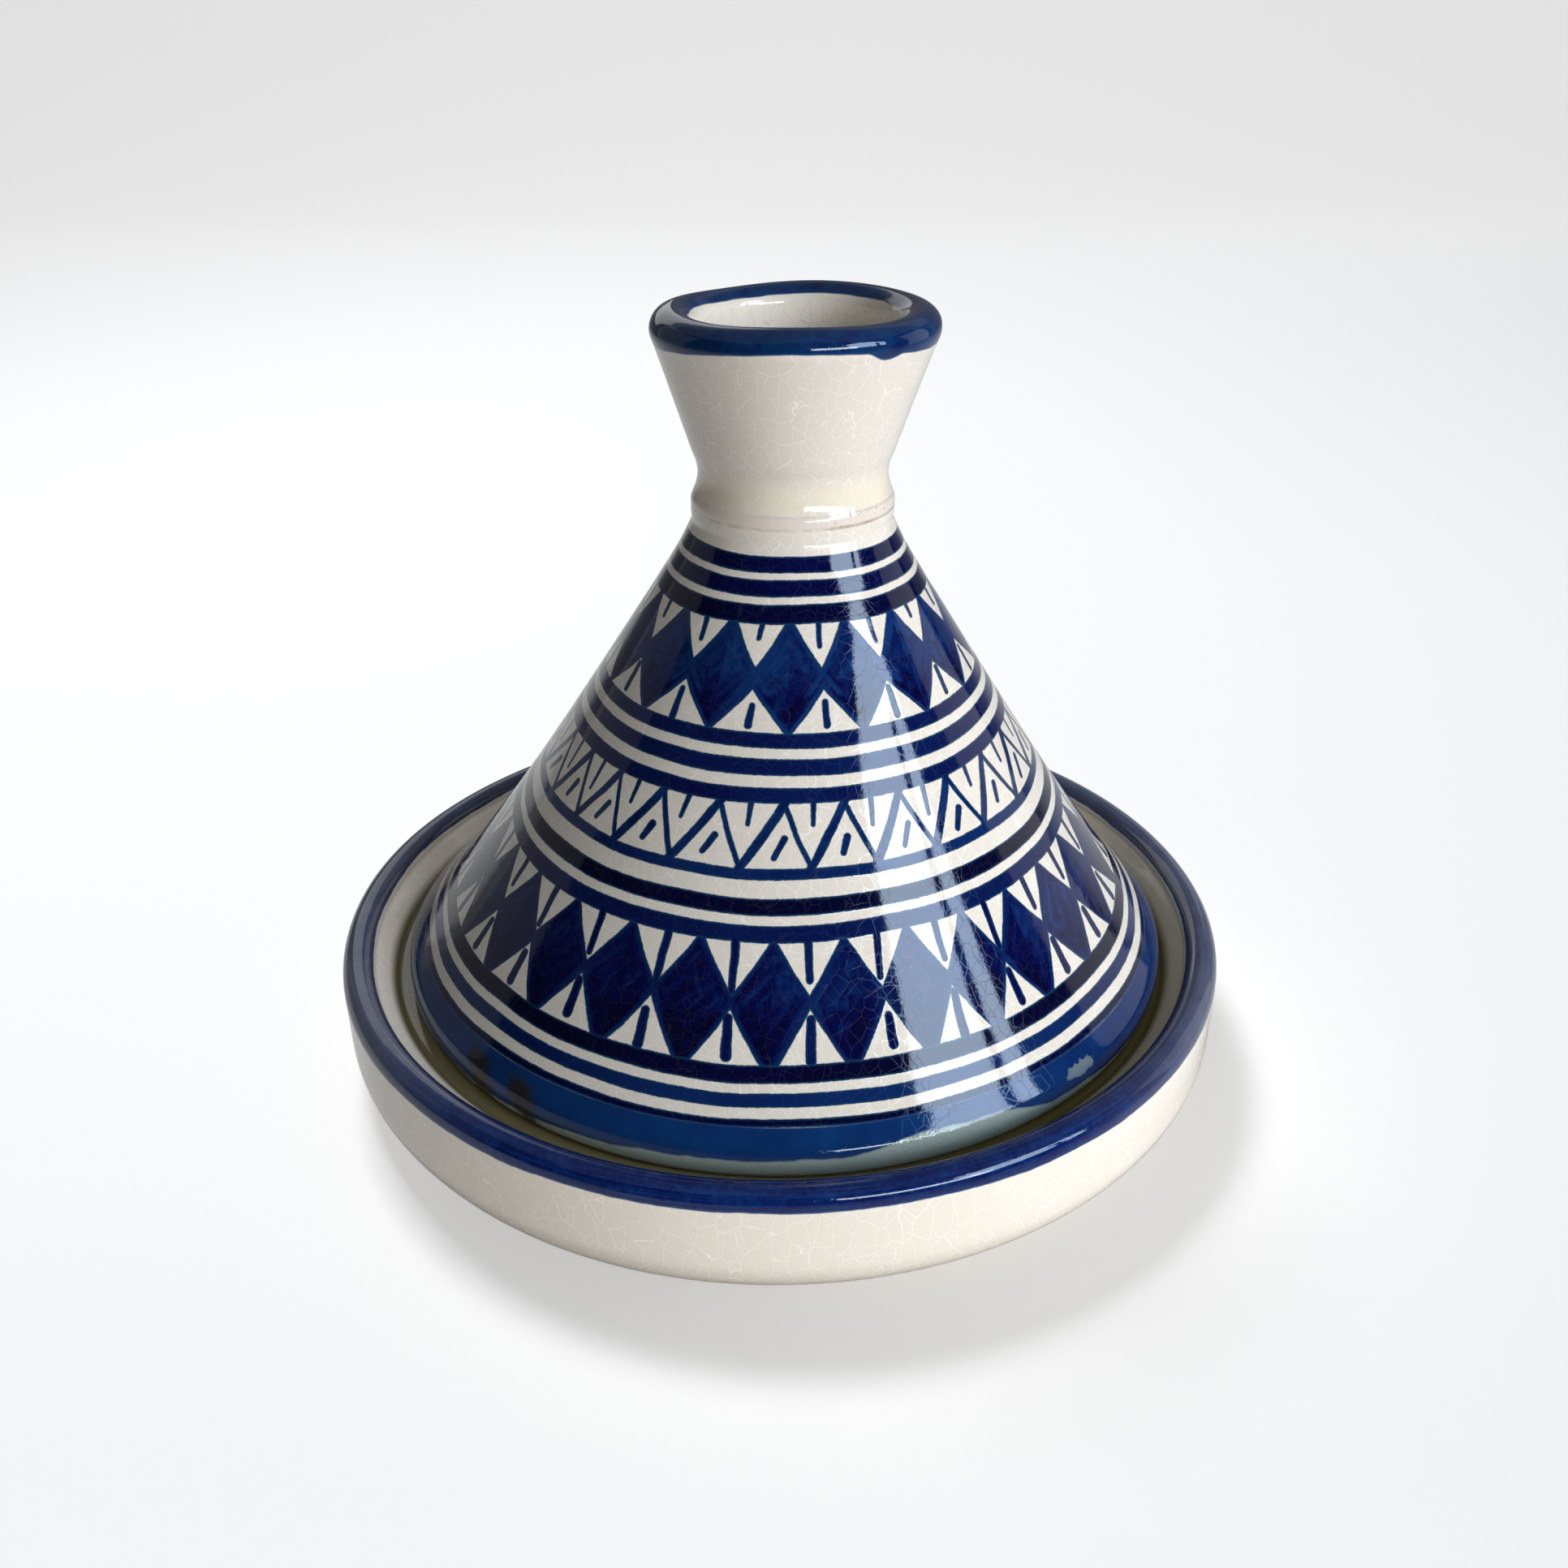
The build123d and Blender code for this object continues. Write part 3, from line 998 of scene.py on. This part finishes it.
def arched_window(azimuth, elevation, distance, radiance, lights):
    """A bright arched window at the right, seen only as light: its reflection runs down the cone."""
    left, right, sill, crown = -0.25, 0.44, -0.42, 0.052
    mullion, transom = (0.232, 0.300), -0.11
    middle, arch = 0.05, 1.2  # where the arch peaks, and how fast it falls away on both sides

    def head(across):
        return crown - arch * (across - middle) ** 2

    columns = sorted({*np.linspace(left, right, 24).round(4).tolist(), *mullion})
    points, faces = [], []
    for start_at, end_at in zip(columns, columns[1:]):
        foot = transom if mullion[0] <= start_at < mullion[1] else sill
        corner = len(points)
        points += [(start_at, foot), (end_at, foot), (end_at, head(end_at)), (start_at, head(start_at))]
        faces.append(tuple(range(corner, corner + 4)))
    mesh = bpy.data.meshes.new("window")
    mesh.from_pydata([(across, tall, 0) for across, tall in points], [], faces)
    window = bpy.data.objects.new("window", mesh)
    bpy.context.scene.collection.objects.link(window)
    direction = toward(azimuth, elevation)
    window.location = Vector((0, 0, 0.1)) + direction * distance
    window.rotation_euler = direction.to_track_quat("Z", "Y").to_euler()
    material = bpy.data.materials.new("window_light")
    material.use_nodes = True
    shader = material.node_tree.nodes["Principled BSDF"]
    shader.inputs["Base Color"].default_value = (0, 0, 0, 1)
    shader.inputs["Emission Color"].default_value = (*radiance, 1)
    shader.inputs["Emission Strength"].default_value = 1
    mesh.materials.append(material)
    window.visible_camera = False
    window.visible_shadow = False
    window.light_linking.receiver_collection = lights


floor = pale_backdrop()
on_pot = receivers("lights_on_pot", lid, dish)
on_dish = receivers("lights_on_dish", dish)
on_floor = receivers("lights_on_floor", floor)

panel("ceiling", 180, 80, 1.2, (2.6, 2.6), radiance=0.17, colour=SKY)
panel("floor_key", 214, 65, 1.8, (0.5, 0.5), radiance=22.0, lights=on_floor)
panel("fill", 42, 12, 1.5, (1.6, 0.6), radiance=7.1, colour=WARM_WHITE, lights=on_pot, glossy=False)
panel("left_sheen", -112, 18, 1.6, (1.1, 1.2), radiance=0.16, lights=on_pot)
panel("right_sheen", 108, 16, 1.6, (0.8, 1.0), radiance=0.60, lights=on_pot)
panel("back_sheen", -158, 26, 1.6, (1.0, 0.7), radiance=0.9, lights=on_pot)
panel("rim_sheen", 165, 12, 1.6, (1.5, 0.6), radiance=0.40, colour=PALE_SKY, lights=on_dish)
low_pane = panel("low_pane", 28, 21, 1.3, (0.75, 0.17), radiance=14.0, colour=CLEAR_SKY, lights=on_pot)
low_pane.visible_diffuse = False
panel("over_dish", 20, 62, 1.5, (1.4, 1.4), radiance=1.35, colour=WARM_WHITE, lights=on_dish, glossy=False)
arched_window(azimuth=51, elevation=36, distance=1.3, radiance=(6.1, 7.7, 9.8), lights=on_pot)

world = bpy.data.worlds.new("dim_room")
world.use_nodes = True
world.node_tree.nodes["Background"].inputs["Color"].default_value = (0.9, 0.95, 1.0, 1)
world.node_tree.nodes["Background"].inputs["Strength"].default_value = 0.015
bpy.context.scene.world = world
bpy.context.scene.view_settings.view_transform = "Standard"

# The camera stands in front of the pot and looks down at it, turned and tilted by a hair
VIEW_YAW = -0.0111
VIEW_PITCH = math.radians(27.72)
VIEW_ROLL = -0.0100
VIEW_LENS = 33.2
VIEW_SIDE, VIEW_BACK, VIEW_UP = -0.0183, -2.898, 1.818  # from the middle of the dish's rim, in rim radii
camera_data = bpy.data.cameras.new("camera")
camera_data.lens = VIEW_LENS
camera = bpy.data.objects.new("camera", camera_data)
bpy.context.scene.collection.objects.link(camera)
level_right = Vector((math.cos(VIEW_YAW), math.sin(VIEW_YAW), 0))
forward = Vector((
    -math.sin(VIEW_YAW) * math.cos(VIEW_PITCH),
    math.cos(VIEW_YAW) * math.cos(VIEW_PITCH),
    -math.sin(VIEW_PITCH),
))
level_up = level_right.cross(forward)
right = level_right * math.cos(VIEW_ROLL) + level_up * math.sin(VIEW_ROLL)
up = level_up * math.cos(VIEW_ROLL) - level_right * math.sin(VIEW_ROLL)
place = Vector((VIEW_SIDE * RIM_RADIUS, VIEW_BACK * RIM_RADIUS, RIM_HEIGHT + VIEW_UP * RIM_RADIUS))
turned = Matrix((right, up, -forward)).transposed().to_4x4()
camera.matrix_world = Matrix.Translation(place) @ turned
bpy.context.scene.camera = camera
